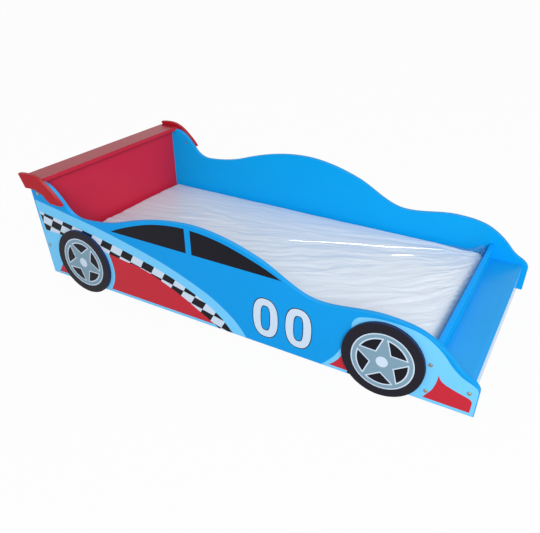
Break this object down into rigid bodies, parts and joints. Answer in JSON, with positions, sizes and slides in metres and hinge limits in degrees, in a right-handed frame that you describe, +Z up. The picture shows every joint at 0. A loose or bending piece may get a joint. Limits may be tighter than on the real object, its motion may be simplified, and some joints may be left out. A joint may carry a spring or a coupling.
{
  "type": "children's bed",
  "caption": "Low toddler bed shaped like a race car: painted board sides with a car outline, disc wheels, rear spoiler, flat hood and a wrapped foam mattress.",
  "frame": {"origin": "on the floor, under the middle of the bed's box", "axes": "+X to the nose of the car (foot of the bed), +Y to the car's left side, +Z up"},
  "size_m": [1.6292, 0.794, 0.4125],
  "materials": {
    "blue_board": "blue gloss paint on fibreboard",
    "red_board": "red gloss paint on fibreboard",
    "black_board": "black gloss paint on fibreboard, with a printed rim",
    "pine": "planed, unfinished",
    "beech": "fluted, unfinished",
    "zinc": "zinc plated",
    "wrapped_foam": "white ticking under a clear plastic wrap"
  },
  "bodies": {
    "root": {"batten_screws": "zinc", "footboard_barrel_nuts": "zinc", "footboard_bolts": "zinc", "footboard_dowels": "beech", "footboard_panel": "blue_board", "headboard_barrel_nuts": "zinc", "headboard_bolts": "zinc", "headboard_dowels": "beech", "headboard_panel": "red_board", "hood_board": "blue_board", "hood_dowels": "beech", "mattress": "wrapped_foam", "nose_board": "blue_board", "nose_board_barrel_nuts": "zinc", "nose_board_bolts": "zinc", "nose_board_dowels": "beech", "side_panel_left": "blue_board", "side_panel_right": "blue_board", "slat_01": "pine", "slat_02": "pine", "slat_03": "pine", "slat_04": "pine", "slat_05": "pine", "slat_06": "pine", "slat_07": "pine", "slat_08": "pine", "slat_09": "pine", "slat_10": "pine", "slat_11": "pine", "slat_12": "pine", "slat_13": "pine", "slat_14": "pine", "slat_screws": "zinc", "spoiler_board": "red_board", "spoiler_dowels": "beech", "spoiler_end_plate_left": "red_board", "spoiler_end_plate_right": "red_board", "spoiler_plate_screws": "zinc", "support_batten_left": "pine", "support_batten_right": "pine", "wheel_disc_front_left": "black_board", "wheel_disc_front_right": "black_board", "wheel_disc_rear_left": "black_board", "wheel_disc_rear_right": "black_board", "wheel_screws": "zinc"}
  },
  "joints": []
}
